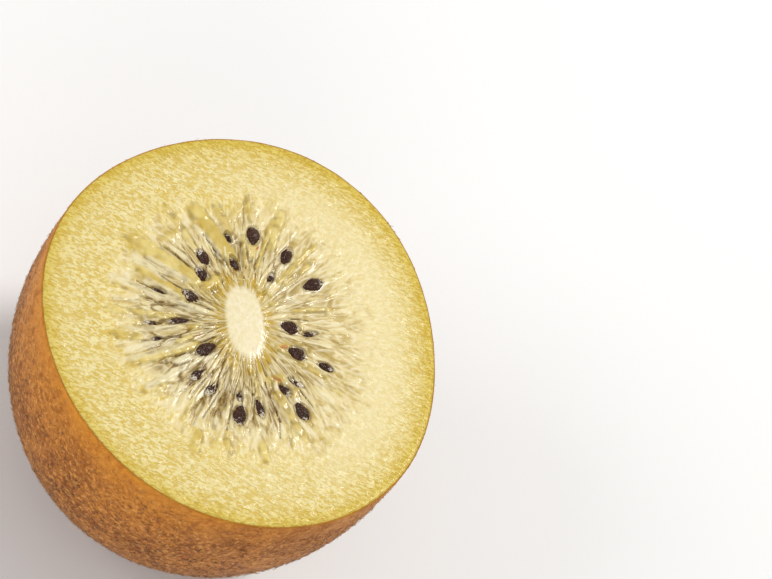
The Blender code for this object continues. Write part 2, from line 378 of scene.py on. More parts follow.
class Tree:
    """Short calls for building one material's nodes."""

    def __init__(self, name):
        self.material = bpy.data.materials.new(name)
        self.material.use_nodes = True
        self.tree = self.material.node_tree
        self.shader = self.tree.nodes["Principled BSDF"]

    def put(self, socket, value):
        """Links a socket to another, or sets its value."""
        if isinstance(value, bpy.types.NodeSocket):
            self.tree.links.new(value, socket)
        elif isinstance(value, tuple) and len(value) == 3 and socket.type == "RGBA":
            socket.default_value = (*value, 1.0)
        else:
            socket.default_value = value

    def node(self, kind, inputs, **settings):
        """The outputs of a new node with the given settings and inputs."""
        made = self.tree.nodes.new(kind)
        for key, value in settings.items():
            setattr(made, key, value)
        for key, value in inputs.items():
            self.put(made.inputs[key], value)
        return made.outputs

    def place(self):
        return self.node("ShaderNodeTexCoord", {})["Object"]

    def vector(self, name):
        return self.node("ShaderNodeAttribute", {}, attribute_name=name)["Vector"]

    def vector_maths(self, operation, *parts):
        inputs = dict(enumerate(parts))
        return self.node("ShaderNodeVectorMath", inputs, operation=operation)["Vector"]

    def scaled(self, vector, scale, turn=0.0):
        """The vector turned about Z by minus the given degrees, then scaled on each axis."""
        inputs = {"Vector": vector, "Angle": -math.radians(turn)}
        turned = self.node("ShaderNodeVectorRotate", inputs, rotation_type="Z_AXIS")
        return self.vector_maths("MULTIPLY", turned["Vector"], scale)

    def wobbled(self, vector, scale, amount):
        """The vector pushed about by noise whose features are 1 / scale across."""
        inputs = {"Vector": vector, "Scale": scale, "Detail": 2.0}
        push = self.node("ShaderNodeTexNoise", inputs)["Color"]
        centred = self.vector_maths("SUBTRACT", push, (0.5, 0.5, 0.5))
        return self.vector_maths("MULTIPLY_ADD", centred, (amount, amount, amount), vector)

    def noise(self, scale, detail=3.0, roughness=0.55, where=None, distortion=0.0):
        """Noise with about scale features to the metre, or to the unit of where."""
        inputs = {"Vector": where or self.place(), "Scale": scale, "Detail": detail,
                  "Roughness": roughness, "Distortion": distortion}
        return self.node("ShaderNodeTexNoise", inputs)["Fac"]

    def cells(self, scale, feature="F1", where=None, output="Distance"):
        inputs = {"Vector": where or self.place(), "Scale": scale}
        return self.node("ShaderNodeTexVoronoi", inputs, feature=feature)[output]

    def channels(self, colour):
        return list(self.node("ShaderNodeSeparateColor", {"Color": colour}))

    def span(self, value, low, high, to_low=0.0, to_high=1.0):
        """to_low where the value is low, to_high where it is high, and a smooth slope between."""
        inputs = {"Value": value, "From Min": low, "From Max": high,
                  "To Min": to_low, "To Max": to_high}
        made = self.node("ShaderNodeMapRange", inputs, interpolation_type="SMOOTHSTEP")
        return made["Result"]

    def maths(self, operation, first, second):
        return self.node("ShaderNodeMath", {0: first, 1: second}, operation=operation)["Value"]

    def times(self, first, second):
        return self.maths("MULTIPLY", first, second)

    def mixed(self, kind, amount, first, second):
        inputs = {"Factor": amount, "A": first, "B": second}
        return self.node("ShaderNodeMix", inputs, data_type=kind)["Result"]

    def blend(self, amount, first, second):
        """A number between first and second."""
        return self.mixed("FLOAT", amount, first, second)

    def mix(self, amount, first, second):
        """A colour between first and second."""
        return self.mixed("RGBA", amount, first, second)

    def attribute(self, name):
        """Red, green, blue and alpha of a colour attribute."""
        read = self.node("ShaderNodeAttribute", {}, attribute_name=name)
        return [*self.channels(read["Color"]), read["Alpha"]]

    def bump(self, height, distance_mm, strength):
        inputs = {"Height": height, "Distance": distance_mm * MM, "Strength": strength}
        self.put(self.shader.inputs["Normal"], self.node("ShaderNodeBump", inputs)["Normal"])

    def set(self, **values):
        for key, value in values.items():
            self.put(self.shader.inputs[key.replace("_", " ")], value)


def srgb(red, green, blue):
    """A colour given as it looks on a screen, from 0 to 255, in linear light."""
    parts = np.array((red, green, blue)) / 255.0
    linear = np.where(parts <= 0.04045, parts / 12.92, ((parts + 0.055) / 1.055) ** 2.4)
    return tuple(float(p) for p in linear)


WET_IOR = 1.36
DRY_IOR = 1.35


def make_flesh_material():
    t = Tree("kiwi_flesh")
    amber, line, grey, orange = t.attribute("tissue")
    chamber, core, rim, quiet = t.attribute("zones")
    gel, pale, outer_share, teeth = t.attribute("marks")
    ray = t.vector("ray")          # cosine and sine of the bearing, and mm out from the core
    place = t.place()
    fine = t.noise(3200.0, 4.0, 0.65)
    busy = t.maths("SUBTRACT", 1.0, quiet)

    # Outer flesh: short strokes, along the radius further in and along the cut further out.
    along_cut = t.wobbled(t.scaled(place, (1500.0, 3500.0, 1200.0), KNIFE_BEARING), 0.8, 1.8)
    along_ray = t.wobbled(t.scaled(ray, (46.0, 46.0, 1.20)), 0.8, 1.4)
    cut_strokes = t.noise(1.0, 2.0, 0.5, along_cut, 0.5)
    ray_strokes = t.noise(1.0, 2.0, 0.5, along_ray, 0.5)
    strokes = t.span(outer_share, 0.60, 0.76)
    strokes = t.blend(strokes, ray_strokes, cut_strokes)
    outer = t.mix(t.span(strokes, 0.41, 0.57), srgb(224, 195, 96), srgb(247, 232, 172))
    ground = t.span(t.noise(260.0, 3.0, 0.6), 0.35, 0.68, 0.0, 0.25)
    outer = t.mix(ground, outer, srgb(232, 207, 124))
    calm = t.mix(t.span(ray_strokes, 0.40, 0.62), srgb(235, 218, 160), srgb(243, 229, 180))
    calm_here = t.times(quiet, t.span(outer_share, 0.96, 0.72, 0.0, 0.85))
    outer = t.mix(calm_here, outer, calm)

    # Inner flesh: pale walls of fine fibres between chambers of greyish or amber gel.
    cell_place = t.wobbled(t.scaled(ray, (8.0, 8.0, 0.20)), 1.1, 0.6)
    lot = t.channels(t.cells(1.0, "F1", cell_place, "Color"))
    edge = t.cells(1.0, "DISTANCE_TO_EDGE", cell_place)
    fibre = t.noise(1.0, 3.0, 0.6, t.wobbled(t.scaled(ray, (11.5, 11.5, 0.36)), 0.9, 1.0))
    broken = t.noise(1.0, 2.0, 0.6, t.scaled(ray, (22.0, 22.0, 0.9)))
    inner = t.mix(t.span(fibre, 0.38, 0.58), srgb(200, 173, 100), srgb(236, 218, 162))
    greyed = t.times(t.span(lot[0], 0.50, 0.72), t.span(outer_share, 0.52, 0.36))
    greyed = t.times(greyed, t.span(busy, 0.0, 1.0, 0.4, 0.75))
    grey_tone = t.mix(t.span(fibre, 0.38, 0.60), srgb(152, 128, 74), srgb(206, 186, 136))
    inner = t.mix(t.maths("MAXIMUM", grey, greyed), inner, grey_tone)
    gel_here = t.times(gel, t.span(lot[1], 0.25, 0.7, 0.25, 0.8))
    gel_tone = t.mix(t.span(fibre, 0.4, 0.6), srgb(174, 142, 60), srgb(208, 182, 102))
    inner = t.mix(gel_here, inner, gel_tone)
    outline = t.times(t.span(edge, 0.085, 0.02), t.span(broken, 0.44, 0.58))
    outline = t.times(outline, t.span(outer_share, 0.62, 0.42))
    outline = t.times(outline, t.span(busy, 0.0, 1.0, 0.25, 0.9))
    # painted highlight: a bright band next to each chamber outline
    painted_highlight_by_outline = t.times(t.span(edge, 0.07, 0.12), t.span(edge, 0.26, 0.13))
    inner = t.mix(t.times(painted_highlight_by_outline, 0.5), inner, srgb(247, 238, 204))
    inner = t.mix(outline, inner, srgb(122, 90, 32))
    colour = t.mix(chamber, outer, inner)

    jelly = t.span(t.noise(420.0, 1.0), 0.35, 0.65)
    amber_tone = t.mix(jelly, srgb(208, 179, 80), srgb(230, 208, 124))
    colour = t.mix(amber, colour, amber_tone)
    rim_tone = t.mix(t.span(strokes, 0.38, 0.60), srgb(206, 170, 40), srgb(228, 202, 86))
    colour = t.mix(rim, colour, rim_tone)
    core_grain = t.span(t.noise(1500.0, 2.0), 0.35, 0.7)
    core_tone = t.mix(core_grain, srgb(240, 225, 180), srgb(248, 236, 200))
    colour = t.mix(core, colour, core_tone)
    colour = t.mix(teeth, colour, srgb(200, 166, 56))
    # pale tissue, partly painted highlights on the gel fingers and by two seeds
    colour = t.mix(t.times(pale, 0.8), colour, srgb(240, 229, 190))
    colour = t.mix(orange, colour, srgb(186, 88, 26))
    # dark lines of the chambers, and painted shade in the creases round the seeds
    colour = t.mix(line, colour, srgb(100, 70, 20))

    t.set(
        Base_Color=colour,
        Roughness=t.span(fine, 0.35, 0.65, 0.25, 0.5),
        IOR=WET_IOR,
        Coat_Weight=t.span(outer_share, 0.72, 0.45, 0.08, 0.4),
        Coat_Roughness=0.09,
        Subsurface_Weight=0.15,
        Subsurface_Scale=0.0006,
    )
    t.shader.inputs["Subsurface Radius"].default_value = (1.0, 0.75, 0.30)
    relief = t.maths("ADD", t.times(strokes, 1.5), t.times(fine, 0.25))
    inner_relief = t.maths("ADD", t.times(fibre, 1.2), t.times(fine, 0.15))
    inner_relief = t.maths("SUBTRACT", inner_relief, t.times(outline, 0.5))
    calm_relief = t.times(ray_strokes, 0.5)
    relief = t.blend(t.times(calm_here, 0.8), relief, calm_relief)
    inner_relief = t.blend(t.times(quiet, 0.5), inner_relief, 0.5)
    relief = t.blend(chamber, relief, inner_relief)
    relief = t.blend(t.times(amber, 0.85), relief, 0.5)
    relief = t.blend(core, relief, t.times(fine, 0.4))
    t.bump(relief, 0.16, 0.9)
    return t.material


def make_seed_material():
    t = Tree("kiwi_seed")
    pits = t.cells(4600.0)
    tone = t.noise(1100.0, 3.0, 0.6)
    colour = t.mix(t.span(pits, 0.1, 0.6), srgb(24, 9, 2), srgb(64, 30, 12))
    colour = t.mix(t.span(tone, 0.50, 0.75, 0.0, 0.6), colour, srgb(94, 54, 30))
    painted_glint = t.attribute("painted_glint")[0]
    glint_breakup = t.noise(2900.0, 3.0, 0.7, distortion=0.6)
    painted_glint_mask = t.maths("ADD", painted_glint, t.times(glint_breakup, 0.9))
    # painted highlight: pale patches standing for light caught on the wet seed, with scraps of
    # flesh where fibre veils it
    colour = t.mix(t.span(painted_glint_mask, 0.80, 0.90, 0.0, 0.9), colour, srgb(238, 226, 204))
    t.set(
        Base_Color=colour,
        Roughness=t.span(tone, 0.3, 0.7, 0.14, 0.38),
        Coat_Weight=0.1,
        Coat_Roughness=0.06,
        IOR=WET_IOR,
    )
    t.bump(t.maths("ADD", pits, t.times(t.noise(3000.0), 0.6)), 0.14, 1.0)
    return t.material


def make_skin_material():
    t = Tree("kiwi_skin")
    painted_glow, shade, scar, edge = t.attribute("skin_zones")
    patches = t.noise(120.0, 4.0, 0.6, distortion=0.8)
    mottle = t.noise(420.0, 5.0, 0.7, distortion=1.2)
    grain = t.noise(1700.0, 4.0, 0.7)
    colour = t.mix(t.span(patches, 0.34, 0.66), srgb(148, 80, 18), srgb(188, 116, 38))
    colour = t.mix(t.span(mottle, 0.46, 0.66, 0.0, 0.85), colour, srgb(104, 50, 14))
    colour = t.mix(t.span(grain, 0.50, 0.66, 0.0, 0.9), colour, srgb(222, 158, 80))
    colour = t.mix(t.span(grain, 0.47, 0.34, 0.0, 0.9), colour, srgb(84, 38, 12))
    # painted light: warm orange where light shining through the flesh lights the skin near the
    # rim
    painted_glow_tone = t.mix(t.span(mottle, 0.4, 0.7), srgb(218, 140, 26), srgb(190, 110, 20))
    colour = t.mix(painted_glow, colour, painted_glow_tone)
    colour = t.mix(shade, colour, srgb(104, 52, 18))
    scar_tone = t.mix(t.span(mottle, 0.35, 0.65), srgb(74, 48, 28), srgb(138, 104, 70))
    colour = t.mix(scar, colour, scar_tone)
    colour = t.mix(edge, colour, srgb(176, 124, 30))
    t.set(
        Base_Color=colour,
        Roughness=t.span(mottle, 0.3, 0.7, 0.52, 0.75),
        Sheen_Weight=0.10,
        Sheen_Roughness=0.45,
        IOR=DRY_IOR,
        Subsurface_Weight=0.08,
        Subsurface_Scale=0.0006,
    )
    t.shader.inputs["Sheen Tint"].default_value = (*srgb(232, 196, 160), 1.0)
    t.bump(t.maths("ADD", grain, t.times(mottle, 1.2)), 0.16, 0.9)
    return t.material


def make_down_material():
    t = Tree("kiwi_down")
    tone, painted_glow = t.attribute("hair")[:2]
    colour = t.mix(tone, srgb(100, 48, 12), srgb(226, 164, 84))
    # painted light: hairs near the rim warmed in colour as if lit through the flesh
    colour = t.mix(painted_glow, colour, srgb(214, 146, 62))
    t.set(Base_Color=colour, Roughness=0.55, Sheen_Weight=0.2)
    return t.material


# ---------------------------------------------------------------- flesh

STEPS_ROUND = 768
CORE_RINGS = 12
FACE_RINGS = 100
WALL_RINGS = 7


def seed_place(seed):
    angle = math.radians(seed.bearing)
    return seed.distance * math.cos(angle), seed.distance * math.sin(angle)


def seed_local(x, y, seed):
    """Each point's place along and across a seed, in half lengths and half widths."""
    cx, cy = seed_place(seed)
    along, across = along_across(x - cx, y - cy, seed.bearing + seed.turn)
    return along / (seed.length / 2.0), across / (seed.width / 2.0)


def knife_strokes(x, y, length, width, seed):
    """Noise whose features lie along the direction of the cut."""
    along, across = along_across(x, y, KNIFE_BEARING)
    return ripple(along / length, across / width + 0.4 * ripple(x / 3, y / 3, seed + 1), seed)


def chamber_pattern(x, y, turns, along, share, inside_core, quiet, deep):
    """The zone of the chambers, the gel in them, grooves along some of their edges, and the
    fibres between. turns is the bearing in whole turns."""
    # Where the chambers end, lobe by lobe.
    end = CHAMBER_END + 0.05 * ripple(turns * CHAMBERS, 0.5 + 0 * along, 21, CHAMBERS)
    end = end + 0.03 * ripple(turns * 12, 0.3 + 0 * along, 22, 12)
    beyond = share / end
    zone = smooth(1.12, 0.86, beyond + 0.16 * rough(x * 0.8, y * 0.8, 23, 3))
    zone = np.where(inside_core, 1.0, zone)

    # Each chamber wanders a little, and has a width, middle, tip and depth of its own.
    wander = 0.040 * ripple(turns * 24, along * 6, 11, 24)
    wander = wander + 0.014 * ripple(turns * 70, along * 14, 12, 70)
    lane = (turns + wander / FULL_TURN) * CHAMBERS
    cell = np.floor(lane).astype(int) % CHAMBERS
    rng = np.random.default_rng(31)
    half = (0.20 + 0.12 * rng.random(CHAMBERS))[cell]
    middle = (0.5 + 0.12 * (rng.random(CHAMBERS) - 0.5))[cell]
    tip = (0.78 + 0.24 * rng.random(CHAMBERS))[cell]
    depth = (0.4 + 0.6 * rng.random(CHAMBERS))[cell]
    taper = smooth(0.02, 0.16, along) * smooth(1.0, 0.55, beyond / tip)
    reach = half * (0.15 + 0.85 * taper)
    off = np.abs(lane - np.floor(lane) - middle) / np.maximum(reach, 1e-3)
    gel = smooth(1.2, 0.75, off) * smooth(1.02, 0.88, beyond / tip) * smooth(0.01, 0.06, along)
    gel = np.where(inside_core, 0.0, gel * depth) * (1.0 - 0.5 * quiet) * (0.8 + 0.4 * deep)

    radius = np.maximum(np.hypot(x, y), 3.0)
    edge_mm = np.abs(off - 1.0) * reach / CHAMBERS * FULL_TURN * radius
    drawn = smooth(0.0, 0.45, ripple(turns * 60, along * 11, 32, 60))
    groove = smooth(0.15, 0.04, edge_mm) * drawn * smooth(1.0, 0.7, beyond)
    groove = groove * smooth(0.02, 0.08, along) * (1.0 - 0.8 * quiet)

    fibre = 0.3 * ripple(turns * 96, along * 6, 33, 96)
    fibre = fibre + 0.8 * ripple(turns * 46, along * 5, 34, 46)
    fibre = (np.abs(fibre) - 0.1) * zone * (1.0 - 0.6 * quiet)
    return zone, gel, groove, fibre


def core_pattern(x, y, turns, gap_mm):
    """Each point's distance from the core's middle as a share of its pale oval, the core with
    its soft edge, and the short yellow teeth that fringe it."""
    along, across = along_across(x - CORE_CENTRE[0], y - CORE_CENTRE[1], CORE_BEARING)
    lengthwise = np.abs(along / PALE_CORE_HALF[0]) ** PALE_CORE_FULLNESS
    sideways = np.abs(across / PALE_CORE_HALF[1]) ** PALE_CORE_FULLNESS
    oval = (lengthwise + sideways) ** (1 / PALE_CORE_FULLNESS)
    core = smooth(1.16, 0.88, oval + 0.05 * rough(x * 1.5, y * 1.5, 56, 3))
    fringe = smooth(0.92, 1.12, oval) * smooth(1.95, 1.25, oval)
    teeth = ripple(turns * 62, gap_mm * 0.7, 44, 62) + 0.5 * ripple(x * 2.2, y * 2.2, 45)
    teeth = smooth(-0.05, 0.40, teeth) * fringe
    return oval, core, np.clip(teeth * 0.9 + 0.30 * fringe, 0, 1)


def with_pockets(x, y, strands, height, line, pale):
    """The pattern with a pocket for each seed, with a painted shade line round its edge and
    strands of fibre across.
    """
    for seed in SEEDS:
        u, v = seed_local(x, y, seed)
        near = np.abs(u) + np.abs(v) < 8
        edge_mm = (np.hypot(u, v) - 1.0) * min(seed.length, seed.width) / 2.0
        pocket = smooth(0.03, -0.14, edge_mm) * near
        over = strands * seed.veil
        floor = seed.stand - POCKET_DEPTH + over * STRAND_HEIGHT
        height = height * (1 - pocket) + pocket * floor
        # painted shade: a dark line in the crease where each seed meets the flesh
        ring = smooth(0.12, 0.03, np.abs(edge_mm)) * near
        line = np.maximum(line * (1 - 0.6 * pocket), ring * 0.6 * (1 - over))
        pale = np.maximum(pale * (1 - pocket), over * pocket * 0.8)
    return height, line, pale


def face_pattern(x, y, bearing, along, inside_core):
    """Height above the cut and the colour masks for points of the cut face. bearing is of the
    line from core to rim that a point lies on, and along is its share of that line. The whole
    number near the end of each ripple or rough call picks the noise."""
    share = np.hypot(x, y) / outline_radius(np.arctan2(y, x))
    turns = bearing / FULL_TURN
    gap_mm = along * (outline_radius(bearing) - core_radius(bearing))
    facing = towards(bearing, QUIET_BEARING)
    quiet = smooth(0.35, 1.0, facing + 0.12 * ripple(turns * 14, share * 2, 13, 14))
    deep = towards(bearing, DEEP_BEARING)
    ripe = towards(bearing, RIPE_BEARING)
    zone, gel, groove, fibre = chamber_pattern(
        x, y, turns, along, share, inside_core, quiet, deep)

    # Marks drawn one by one.
    ragged = 0.12 * rough(x * 2.2, y * 2.2, 41, 2)
    amber = cover(x, y, AMBER_STREAKS, ragged)
    grey = cover(x, y, GREY_PATCHES, ragged)
    hollows = smooth(-0.2, 0.4, ripple(turns * 52, share * 9, 47, 52))
    grey = np.maximum(grey, 0.75 * deep * smooth(0.60, 0.42, share) * hollows)
    orange = cover(x, y, ORANGE_FLECKS, ragged * 0.4)
    line = cover(x, y, DARK_LINES, np.abs(ragged) * 0.6)
    line = line * smooth(-0.55, 0.15, ripple(x * 2.8, y * 2.8, 43) + 0.25)
    line = np.maximum(line, groove * 0.30)
    line = line * (1.0 - 0.75 * smooth(0.55, 0.85, amber))
    fingers = cover(x, y, GEL_FINGERS, ragged * 0.5)
    amber = np.maximum(amber, fingers)
    clear = 1.0 - smooth(0.45, 0.8, fingers)
    line, grey, gel, fibre = line * clear, grey * clear, gel * clear, fibre * clear
    outlined = 4.0 * amber * (1.0 - amber) * smooth(0.0, 0.4, ripple(x * 1.1, y * 1.1, 46))
    line = np.maximum(line, outlined * 0.38)
    # pale tissue, partly painted highlights on the gel fingers and by two seeds
    pale = cover(x, y, PALE_STREAKS_AND_HIGHLIGHTS, ragged * 0.6)
    amber, grey = amber * (1 - 0.8 * pale), grey * (1 - 0.6 * pale)

    # Loose amber pockets near the chambers' outer ends.
    loose = smooth(0.30, 0.55, ripple(turns * 46, share * 15, 42, 46)) * smooth(0.48, 0.58, share)
    loose = loose * smooth(0.76, 0.66, share) * (1.0 - 0.9 * quiet)
    amber = np.maximum(amber, loose * 0.6)

    oval, core, teeth = core_pattern(x, y, turns, gap_mm)
    line = line * smooth(0.9, 1.25, oval)

    # Crumbs of the outer flesh, and the deeper yellow towards the rim.
    worms = knife_strokes(x, y, 1.5, 0.62, 53) + 0.5 * knife_strokes(x, y, 0.8, 0.42, 54)
    calm = 1.0 - 0.8 * quiet * smooth(0.90, 0.75, share)
    crumb = np.clip(worms, -1, 1) * (1.0 - zone) * calm
    rim = smooth(0.87 - 0.07 * ripe, 0.985, share + 0.02 * ripple(x * 0.8, y * 0.8, 55))
    rim = rim * (0.60 + 0.40 * smooth(0.93, 0.97, share)) * (0.75 + 0.25 * ripe)

    height = CRUMB_HEIGHT * crumb * smooth(1.0, 0.95, share) - CHAMBER_SINK * zone
    height = height - GEL_SINK * gel * (1 - core) + FIBRE_HEIGHT * fibre * (1 - core)
    height = height - FIBRE_HEIGHT * fibre * amber * (1 - core)
    height = height + AMBER_HEIGHT * amber + FINGER_HEIGHT * fingers - LINE_SINK * line
    height = height + PALE_HEIGHT * pale - TEETH_SINK * teeth
    height = height + core * CORE_HEIGHT + 0.02 * ripple(x * 3.0, y * 3.0, 57)
    height = height - RIM_SINK * smooth(0.975, 1.0, share)

    strands = smooth(0.05, 0.30, ripple(turns * 330, along * 14, 58, 330))
    height, line, pale = with_pockets(x, y, strands, height, line, pale)
    colours = {
        "tissue": np.stack([amber, np.clip(line, 0, 1), grey * (1 - core), orange], -1),
        "zones": np.stack([zone, core, rim, quiet], -1),
        "marks": np.stack([gel, pale, share, teeth], -1),
        "ray": np.stack([np.cos(bearing), np.sin(bearing), gap_mm, 1 + 0 * x], -1),
    }
    return height, colours


def build_flesh(material):
    bearing = np.arange(STEPS_ROUND) * FULL_TURN / STEPS_ROUND
    rim = np.stack(polar(outline_radius(bearing) - SKIN_THICKNESS, bearing), -1)
    core = np.stack(polar(core_radius(bearing), bearing), -1) + np.array(CORE_CENTRE)

    in_core = (np.arange(CORE_RINGS) + 0.5) / CORE_RINGS
    on_face = np.linspace(0.0, 1.0, FACE_RINGS)
    inner = np.array(CORE_CENTRE) + (core - np.array(CORE_CENTRE)) * in_core[:, None, None]
    outer = core + (rim - core) * on_face[:, None, None]
    flat = np.concatenate([inner, outer])
    along = np.concatenate([0 * in_core, on_face])[:, None] + 0 * bearing
    inside_core = np.zeros(along.shape, bool)
    inside_core[:CORE_RINGS] = True
    x, y = flat[..., 0], flat[..., 1]
    height, colours = face_pattern(x, y, bearing + 0 * x, along, inside_core)
    # The core rises softly to its middle.
    dome = np.concatenate([np.cos(in_core * np.pi / 2.0), 0 * on_face])[:, None]
    top = np.dstack([x, y, CUT_HEIGHT + height + CORE_DOME * dome])

    turns = np.linspace(RIM_TURN, REST_TURN, WALL_RINGS + 1)[1:]
    depth, share = side_curve(turns)
    wall = rim[None] * share[:, None, None]
    wall_z = np.maximum(CUT_HEIGHT - depth, SKIN_THICKNESS)[:, None] + 0 * bearing
    rings = np.concatenate([top, np.dstack([wall[..., 0], wall[..., 1], wall_z])])
    middle = (CORE_CENTRE[0], CORE_CENTRE[1], float(top[0, :, 2].mean()))
    attributes = []
    for name, values in colours.items():
        side = np.broadcast_to(values[-1:], (WALL_RINGS, *values.shape[1:]))
        every = np.concatenate([values, side]).reshape(-1, 4)
        attributes.append((name, np.concatenate([every, [values[0, 0], values[-1, 0]]])))
    # Rings run outwards on the face, so the first fan faces up once the order is turned.
    mesh = ring_mesh("flesh", rings[:, ::-1], middle, (0.0, 0.0, SKIN_THICKNESS),
                     [(name, turned(values, rings.shape[:2])) for name, values in attributes])
    return add_object("flesh", mesh, material)


def turned(values, shape):
    """The same values for rings whose points are taken in the opposite order."""
    count, steps = shape
    body = values[:count * steps].reshape(count, steps, 4)[:, ::-1].reshape(-1, 4)
    return np.concatenate([body, values[count * steps:]])


# ---------------------------------------------------------------- skin

SKIN_STEPS = 640
SKIN_RINGS = 118
SPOT_RINGS = 12
LINING_RINGS = 9
RIM_DROP = 0.12             # how far the skin's rim lies under the cut
LINING_DROP = 0.03          # how much lower the lining starts
SCAR_RADIUS = 3.2           # ring groove of the stalk's scar
SCAR_WIDTH = 0.9
SCAR_DEPTH = 0.45
PAINTED_GLOW_BEARING = 235.0        # light through the flesh warms the skin most on this side


def skin_relief(x, y, z):
    """Small lumps and grain of the skin, as a distance outwards."""
    lumps = rough(x * 0.13 + z * 0.05, y * 0.13 - z * 0.11, 71, 2) * 0.10
    grain = ripple(x * 1.1 + z * 0.9, y * 1.1 - z * 0.8, 72) * 0.035
    fine = ripple(x * 2.1 - z * 1.7, y * 2.3 + z * 1.5, 73) * 0.03
    return lumps + grain + fine


def painted_rim_glow(bearing, below, least):
    """How strongly light through the flesh is painted on the skin as warm orange: most at the
    rim, fading downwards, and more on the lit side.
    """
    lit = 0.55 + 0.45 * np.cos(bearing - math.radians(PAINTED_GLOW_BEARING))
    return np.exp(-below / (2.2 + 2.6 * lit)) * (least + 0.5 * lit)


def build_skin(material):
    bearing = np.arange(SKIN_STEPS) * FULL_TURN / SKIN_STEPS
    rim_radius = outline_radius(bearing)
    round_x, round_y = polar(rim_radius, bearing)

    depth, share = side_curve(np.linspace(RIM_TURN, REST_TURN, SKIN_RINGS))
    x = round_x * share[:, None]
    y = round_y * share[:, None]
    z = (CUT_HEIGHT - depth)[:, None] + 0 * x
    out = skin_relief(x, y, z) * smooth(0.0, 1.2, z) * smooth(0.0, 0.6, CUT_HEIGHT - z)
    lean = np.gradient(z[:, 0]) / (np.gradient(share * FACE_RADIUS) + 1e-9)
    normal_out = 1.0 / np.sqrt(1.0 + (1.0 / (np.abs(lean) + 1e-6)) ** 2)
    grown = 1.0 + out * normal_out[:, None] / rim_radius / share[:, None]
    x = x * grown
    y = y * grown
    z = z + out * (normal_out[:, None] - 1.0) * 0.6
    notches = ripple(bearing * 95 / FULL_TURN, 0.4 + 0 * bearing, 74, 95)
    z[0] = CUT_HEIGHT - RIM_DROP + 0.04 * notches

    # The spot it rests on, with the dry scar of the stalk: a ring groove round a button.
    spot = np.linspace(1.0, 0.05, SPOT_RINGS + 1)[1:]
    spot_radius = spot * REST_SPOT_RADIUS
    groove = np.exp(-((spot_radius - SCAR_RADIUS) / SCAR_WIDTH) ** 2) * SCAR_DEPTH + 0.05
    wrinkle = 0.06 * ripple(bearing * 40 / FULL_TURN, 0.2 + 0 * bearing, 75, 40)
    spot_z = groove[:, None] * (1.0 + wrinkle * 4) * smooth(1.0, 0.8, spot)[:, None]
    spot_x, spot_y = x[-1] * spot[:, None], y[-1] * spot[:, None]

    lining_depth, lining_share = side_curve(np.linspace(REST_TURN, RIM_TURN, LINING_RINGS))
    inner = (rim_radius - SKIN_THICKNESS) / rim_radius
    lining_x = (round_x * inner) * lining_share[:, None]
    lining_y = (round_y * inner) * lining_share[:, None]
    lining_z = np.maximum(CUT_HEIGHT - lining_depth, SKIN_THICKNESS * 3)[:, None] + 0 * lining_x
    lining_z[-1] = z[0] - LINING_DROP

    # From the button under the fruit, up the outside, over the rim and down the lining.
    rings_x = np.concatenate([spot_x[::-1], x[::-1], lining_x[::-1]])
    rings_y = np.concatenate([spot_y[::-1], y[::-1], lining_y[::-1]])
    rings_z = np.concatenate([spot_z[::-1], np.maximum(z[::-1], 0.0), lining_z[::-1]])
    rings = np.dstack([rings_x, rings_y, rings_z])

    below = CUT_HEIGHT - rings_z
    around = np.arctan2(rings_y, rings_x)
    # painted light: warm orange from light through the flesh, most at the rim on the lit side
    painted_glow = painted_rim_glow(around, below, 0.50)
    shade = 0.45 * smooth(16.0, 30.0, below + 3.0 * rough(rings_x * 0.2, rings_y * 0.2, 76, 2))
    edge = smooth(0.25, 0.0, below)
    scar = smooth(4.6, 3.6, np.hypot(rings_x, rings_y)) * (rings_z < 1.0)
    zones = np.dstack([painted_glow, shade, scar, edge]).reshape(-1, 4)
    ends = np.array([[0.0, 0.4, 1.0, 0.0], [0.0, 0.4, 0.0, 0.0]])
    mesh = ring_mesh("skin", rings, (0.0, 0.0, 0.0), (0.0, 0.0, SKIN_THICKNESS * 4),
                     [("skin_zones", np.concatenate([zones, ends]))])
    return add_object("skin", mesh, material)


# ---------------------------------------------------------------- down on the skin

HAIRS = 18000
HAIR_SIDES = 3
HAIR_POINTS = 2 * HAIR_SIDES + 1     # a ring at the root, one half way, and the tip


